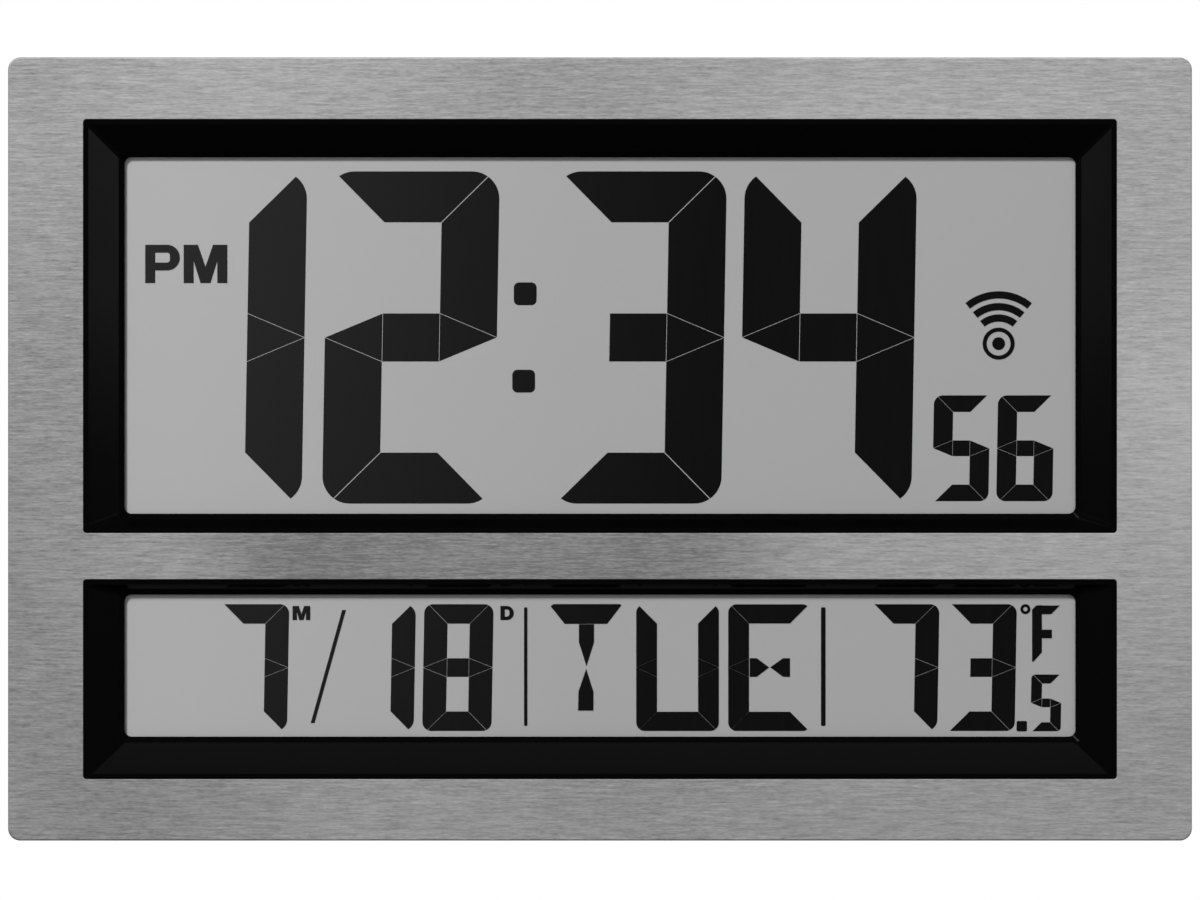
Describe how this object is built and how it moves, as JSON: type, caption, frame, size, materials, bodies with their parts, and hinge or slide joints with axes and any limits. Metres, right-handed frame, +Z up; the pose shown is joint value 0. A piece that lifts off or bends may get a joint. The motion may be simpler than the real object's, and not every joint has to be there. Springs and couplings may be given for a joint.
{
  "type": "digital wall clock",
  "caption": "Wide radio-set wall clock: brushed metal face with two sunk displays for time and date, black tray back with keyholes, battery door, setting keys and fold-out legs.",
  "frame": {"origin": "middle of the face plate's width and height, on the plane of the wall behind the clock", "axes": "+X to the viewer's right, +Z up, +Y into the wall: the face looks along -Y"},
  "size_m": [0.406, 0.0295, 0.2686],
  "materials": {
    "brushed_metal": "brushed along the width, satin",
    "bezel_plastic": "fine moulded texture",
    "display_glass": "matt polariser over glass",
    "segment_black": "matt, darkened liquid crystal",
    "rear_glass": "clear glass over the reflector",
    "reflector_film": "silvered film",
    "strip_rubber": "layered conductive rubber",
    "board_green": "solder mask",
    "chip_epoxy": "moulded epoxy",
    "plated_steel": "nickel plated",
    "cover_plastic": "fine moulded texture",
    "key_plastic": "smooth moulded",
    "ferrite": "ground ferrite",
    "copper_wire": "enamelled wire",
    "battery_sleeve": "printed sleeve on a metal can"
  },
  "bodies": {
    "case": {"face_plate": "brushed_metal", "front_bezel": "bezel_plastic", "upper_front_glass": "display_glass", "lower_front_glass": "display_glass", "upper_segments": "segment_black", "lower_segments": "segment_black", "upper_rear_glass": "rear_glass", "lower_rear_glass": "rear_glass", "upper_reflector": "reflector_film", "lower_reflector": "reflector_film", "upper_contact_strip": "strip_rubber", "lower_contact_strip": "strip_rubber", "upper_display_holder": "bezel_plastic", "lower_display_holder": "bezel_plastic", "main_board": "board_green", "receiver_board": "board_green", "controller_chip": "chip_epoxy", "receiver_chip": "chip_epoxy", "quartz_crystal": "plated_steel", "thermistor": "chip_epoxy", "tact_switches": "chip_epoxy", "back_cover": "cover_plastic", "spring_contacts": "plated_steel", "plate_contacts": "plated_steel", "ferrite_rod": "ferrite", "antenna_coil": "copper_wire", "case_screws": "plated_steel", "holder_screws": "plated_steel", "board_screws": "plated_steel", "left_leg_pin": "plated_steel", "right_leg_pin": "plated_steel", "battery_1": "battery_sleeve", "battery_2": "battery_sleeve", "battery_3": "battery_sleeve", "battery_4": "battery_sleeve"},
    "battery_door": {"battery_door": "cover_plastic"},
    "left_leg": {"left_leg": "cover_plastic"},
    "right_leg": {"right_leg": "cover_plastic"},
    "mode_key": {"mode_key": "key_plastic", "mode_plunger": "key_plastic"},
    "set_key": {"set_key": "key_plastic", "set_plunger": "key_plastic"},
    "up_key": {"up_key": "key_plastic", "up_plunger": "key_plastic"},
    "down_key": {"down_key": "key_plastic", "down_plunger": "key_plastic"},
    "unit_key": {"unit_key": "key_plastic", "unit_plunger": "key_plastic"},
    "signal_key": {"signal_key": "key_plastic", "signal_plunger": "key_plastic"}
  },
  "joints": [
    {"name": "door_swing", "type": "hinge", "parent": "case", "child": "battery_door", "pos_m": [0, 0, 0.0115], "axis": [-1, 0, 0], "range_deg": [0, 85]},
    {"name": "left_leg_swing", "type": "hinge", "parent": "case", "child": "left_leg", "pos_m": [-0.115, -0.004, -0.03], "axis": [1, 0, 0], "range_deg": [0, 30]},
    {"name": "right_leg_swing", "type": "hinge", "parent": "case", "child": "right_leg", "pos_m": [0.115, -0.004, -0.03], "axis": [1, 0, 0], "range_deg": [0, 30]},
    {"name": "mode_press", "type": "slide", "parent": "case", "child": "mode_key", "axis": [0, -1, 0], "range_m": [0, 0.0005], "stiffness_N_per_m": 1500},
    {"name": "set_press", "type": "slide", "parent": "case", "child": "set_key", "axis": [0, -1, 0], "range_m": [0, 0.0005], "stiffness_N_per_m": 1500},
    {"name": "up_press", "type": "slide", "parent": "case", "child": "up_key", "axis": [0, -1, 0], "range_m": [0, 0.0005], "stiffness_N_per_m": 1500},
    {"name": "down_press", "type": "slide", "parent": "case", "child": "down_key", "axis": [0, -1, 0], "range_m": [0, 0.0005], "stiffness_N_per_m": 1500},
    {"name": "unit_press", "type": "slide", "parent": "case", "child": "unit_key", "axis": [0, -1, 0], "range_m": [0, 0.0005], "stiffness_N_per_m": 1500},
    {"name": "signal_press", "type": "slide", "parent": "case", "child": "signal_key", "axis": [0, -1, 0], "range_m": [0, 0.0005], "stiffness_N_per_m": 1500}
  ]
}
